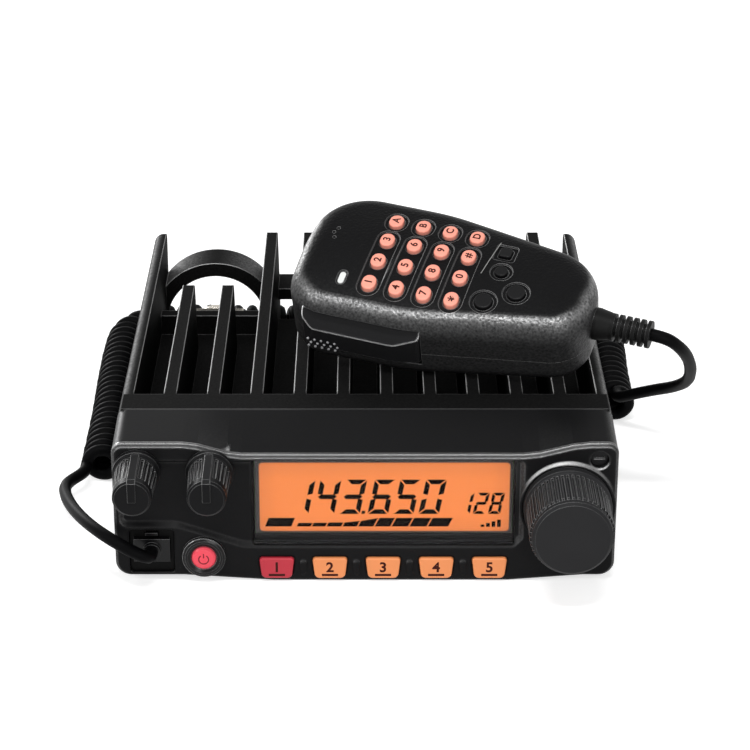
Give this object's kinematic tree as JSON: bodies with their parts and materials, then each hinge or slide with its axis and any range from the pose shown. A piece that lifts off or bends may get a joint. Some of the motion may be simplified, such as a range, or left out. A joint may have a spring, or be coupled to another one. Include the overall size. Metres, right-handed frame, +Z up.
{
  "type": "mobile transceiver",
  "caption": "Car-mount radio transceiver with finned heat sink, lit display, knobs and keys, and a hand microphone on a curly cord lying on top.",
  "frame": {"origin": "on the surface that the case stands on, in the middle of its bottom plate", "axes": "+X to the right seen from the front, +Y to the back, +Z up"},
  "size_m": [0.217, 0.226, 0.0957],
  "materials": {
    "cast_black": "satin black paint on die-cast aluminium",
    "sheet_black": "satin black paint on pressed steel",
    "screw_black": "black zinc",
    "panel_black": "fine grained black moulding",
    "window_clear": "clear pane",
    "lcd_amber": "amber lit display",
    "board_green": "solder mask",
    "zinc": "pressed zinc",
    "bezel_black": "polished ring",
    "socket_black": "plain",
    "plug_black": "plain",
    "package_black": "epoxy",
    "speaker_steel": "pressed steel",
    "nickel": "nickel plate",
    "rubber_black": "moulded rubber",
    "cord_black": "satin cord jacket",
    "knob_black": "satin",
    "button_black": "satin",
    "key_red": "lit translucent red",
    "key_amber": "lit translucent orange",
    "mic_black": "fine texture",
    "lens_clear": "clear light guide",
    "lever_black": "fine texture",
    "key_orange": "lit translucent orange"
  },
  "bodies": {
    "radio": {"heat_sink_chassis": "cast_black", "bottom_cover": "sheet_black", "case_screws": "screw_black", "front_panel": "panel_black", "display_window": "window_clear", "lcd_module": "lcd_amber", "control_board": "board_green", "volume_pot": "zinc", "squelch_pot": "zinc", "dial_encoder": "zinc", "power_bezel": "bezel_black", "mic_jack": "socket_black", "mic_plug": "plug_black", "main_board": "board_green", "power_transistors": "package_black", "speaker": "speaker_steel", "antenna_connector": "nickel", "speaker_jack": "socket_black", "power_grommet": "rubber_black", "radio_side_lead": "cord_black", "coiled_cord": "cord_black", "mic_side_lead": "cord_black"},
    "volume_knob": {"volume_knob": "knob_black"},
    "squelch_knob": {"squelch_knob": "knob_black"},
    "tuning_dial": {"tuning_dial": "knob_black"},
    "power_button": {"power_button": "key_red"},
    "function_key_1": {"function_key_1": "key_red"},
    "function_key_2": {"function_key_2": "key_amber"},
    "function_key_3": {"function_key_3": "key_amber"},
    "function_key_4": {"function_key_4": "key_amber"},
    "function_key_5": {"function_key_5": "key_amber"},
    "hand_mic": {"mic_front_shell": "mic_black", "mic_back_shell": "mic_black", "mic_screws": "screw_black", "mic_board": "board_green", "mic_hanger_stud": "nickel", "mic_strain_relief": "rubber_black", "mic_status_lens": "lens_clear"},
    "push_to_talk_lever": {"push_to_talk_lever": "lever_black"},
    "mic_slide_switch": {"mic_slide_switch": "socket_black"},
    "keypad_key_1": {"keypad_key_1": "key_orange"},
    "keypad_key_2": {"keypad_key_2": "key_orange"},
    "keypad_key_3": {"keypad_key_3": "key_orange"},
    "keypad_key_a": {"keypad_key_a": "key_orange"},
    "keypad_key_4": {"keypad_key_4": "key_orange"},
    "keypad_key_5": {"keypad_key_5": "key_orange"},
    "keypad_key_6": {"keypad_key_6": "key_orange"},
    "keypad_key_b": {"keypad_key_b": "key_orange"},
    "keypad_key_7": {"keypad_key_7": "key_orange"},
    "keypad_key_8": {"keypad_key_8": "key_orange"},
    "keypad_key_9": {"keypad_key_9": "key_orange"},
    "keypad_key_c": {"keypad_key_c": "key_orange"},
    "keypad_key_star": {"keypad_key_star": "key_orange"},
    "keypad_key_0": {"keypad_key_0": "key_orange"},
    "keypad_key_hash": {"keypad_key_hash": "key_orange"},
    "keypad_key_d": {"keypad_key_d": "key_orange"},
    "program_key_1": {"program_key_1": "button_black"},
    "program_key_2": {"program_key_2": "button_black"},
    "program_key_3": {"program_key_3": "button_black"},
    "program_key_4": {"program_key_4": "button_black"}
  },
  "joints": [
    {"name": "volume_turn", "type": "hinge", "parent": "radio", "child": "volume_knob", "pos_m": [-0.072, -0.092, 0.0396], "axis": [0, 1, 0], "range_deg": [-150, 150]},
    {"name": "squelch_turn", "type": "hinge", "parent": "radio", "child": "squelch_knob", "pos_m": [-0.0489, -0.092, 0.0396], "axis": [0, 1, 0], "range_deg": [-150, 150]},
    {"name": "dial_turn", "type": "hinge", "parent": "radio", "child": "tuning_dial", "pos_m": [0.0643, -0.092, 0.0272], "axis": [0, 1, 0], "continuous": true},
    {"name": "power_press", "type": "slide", "parent": "radio", "child": "power_button", "axis": [0, 1, 0], "range_m": [0, 0.001], "stiffness_N_per_m": 1500},
    {"name": "function_key_1_press", "type": "slide", "parent": "radio", "child": "function_key_1", "axis": [0, 1, 0], "range_m": [0, 0.0008], "stiffness_N_per_m": 1500},
    {"name": "function_key_2_press", "type": "slide", "parent": "radio", "child": "function_key_2", "axis": [0, 1, 0], "range_m": [0, 0.0008], "stiffness_N_per_m": 1500},
    {"name": "function_key_3_press", "type": "slide", "parent": "radio", "child": "function_key_3", "axis": [0, 1, 0], "range_m": [0, 0.0008], "stiffness_N_per_m": 1500},
    {"name": "function_key_4_press", "type": "slide", "parent": "radio", "child": "function_key_4", "axis": [0, 1, 0], "range_m": [0, 0.0008], "stiffness_N_per_m": 1500},
    {"name": "function_key_5_press", "type": "slide", "parent": "radio", "child": "function_key_5", "axis": [0, 1, 0], "range_m": [0, 0.0008], "stiffness_N_per_m": 1500},
    {"name": "mic_lift_off", "type": "slide", "parent": "radio", "child": "hand_mic", "axis": [0, 0, 1], "range_m": [0, 0.06]},
    {"name": "talk_press", "type": "hinge", "parent": "hand_mic", "child": "push_to_talk_lever", "pos_m": [0.01567, -0.04329, 0.06274], "axis": [0.0766, 0.4327, -0.8983], "range_deg": [0, 3.6], "stiffness_Nm_per_rad": 2},
    {"name": "mic_switch_slide", "type": "slide", "parent": "hand_mic", "child": "mic_slide_switch", "axis": [0.8659, -0.4756, -0.1552], "range_m": [-0.001, 0.001]},
    {"name": "keypad_key_1_press", "type": "slide", "parent": "hand_mic", "child": "keypad_key_1", "axis": [0.0766, 0.4327, -0.8983], "range_m": [0, 0.0007], "stiffness_N_per_m": 800},
    {"name": "keypad_key_2_press", "type": "slide", "parent": "hand_mic", "child": "keypad_key_2", "axis": [0.0766, 0.4327, -0.8983], "range_m": [0, 0.0007], "stiffness_N_per_m": 800},
    {"name": "keypad_key_3_press", "type": "slide", "parent": "hand_mic", "child": "keypad_key_3", "axis": [0.0766, 0.4327, -0.8983], "range_m": [0, 0.0007], "stiffness_N_per_m": 800},
    {"name": "keypad_key_a_press", "type": "slide", "parent": "hand_mic", "child": "keypad_key_a", "axis": [0.0766, 0.4327, -0.8983], "range_m": [0, 0.0007], "stiffness_N_per_m": 800},
    {"name": "keypad_key_4_press", "type": "slide", "parent": "hand_mic", "child": "keypad_key_4", "axis": [0.0766, 0.4327, -0.8983], "range_m": [0, 0.0007], "stiffness_N_per_m": 800},
    {"name": "keypad_key_5_press", "type": "slide", "parent": "hand_mic", "child": "keypad_key_5", "axis": [0.0766, 0.4327, -0.8983], "range_m": [0, 0.0007], "stiffness_N_per_m": 800},
    {"name": "keypad_key_6_press", "type": "slide", "parent": "hand_mic", "child": "keypad_key_6", "axis": [0.0766, 0.4327, -0.8983], "range_m": [0, 0.0007], "stiffness_N_per_m": 800},
    {"name": "keypad_key_b_press", "type": "slide", "parent": "hand_mic", "child": "keypad_key_b", "axis": [0.0766, 0.4327, -0.8983], "range_m": [0, 0.0007], "stiffness_N_per_m": 800},
    {"name": "keypad_key_7_press", "type": "slide", "parent": "hand_mic", "child": "keypad_key_7", "axis": [0.0766, 0.4327, -0.8983], "range_m": [0, 0.0007], "stiffness_N_per_m": 800},
    {"name": "keypad_key_8_press", "type": "slide", "parent": "hand_mic", "child": "keypad_key_8", "axis": [0.0766, 0.4327, -0.8983], "range_m": [0, 0.0007], "stiffness_N_per_m": 800},
    {"name": "keypad_key_9_press", "type": "slide", "parent": "hand_mic", "child": "keypad_key_9", "axis": [0.0766, 0.4327, -0.8983], "range_m": [0, 0.0007], "stiffness_N_per_m": 800},
    {"name": "keypad_key_c_press", "type": "slide", "parent": "hand_mic", "child": "keypad_key_c", "axis": [0.0766, 0.4327, -0.8983], "range_m": [0, 0.0007], "stiffness_N_per_m": 800},
    {"name": "keypad_key_star_press", "type": "slide", "parent": "hand_mic", "child": "keypad_key_star", "axis": [0.0766, 0.4327, -0.8983], "range_m": [0, 0.0007], "stiffness_N_per_m": 800},
    {"name": "keypad_key_0_press", "type": "slide", "parent": "hand_mic", "child": "keypad_key_0", "axis": [0.0766, 0.4327, -0.8983], "range_m": [0, 0.0007], "stiffness_N_per_m": 800},
    {"name": "keypad_key_hash_press", "type": "slide", "parent": "hand_mic", "child": "keypad_key_hash", "axis": [0.0766, 0.4327, -0.8983], "range_m": [0, 0.0007], "stiffness_N_per_m": 800},
    {"name": "keypad_key_d_press", "type": "slide", "parent": "hand_mic", "child": "keypad_key_d", "axis": [0.0766, 0.4327, -0.8983], "range_m": [0, 0.0007], "stiffness_N_per_m": 800},
    {"name": "program_key_1_press", "type": "slide", "parent": "hand_mic", "child": "program_key_1", "axis": [0.0766, 0.4327, -0.8983], "range_m": [0, 0.0007], "stiffness_N_per_m": 800},
    {"name": "program_key_2_press", "type": "slide", "parent": "hand_mic", "child": "program_key_2", "axis": [0.0766, 0.4327, -0.8983], "range_m": [0, 0.0007], "stiffness_N_per_m": 800},
    {"name": "program_key_3_press", "type": "slide", "parent": "hand_mic", "child": "program_key_3", "axis": [0.0766, 0.4327, -0.8983], "range_m": [0, 0.0007], "stiffness_N_per_m": 800},
    {"name": "program_key_4_press", "type": "slide", "parent": "hand_mic", "child": "program_key_4", "axis": [0.0766, 0.4327, -0.8983], "range_m": [0, 0.0007], "stiffness_N_per_m": 800}
  ]
}
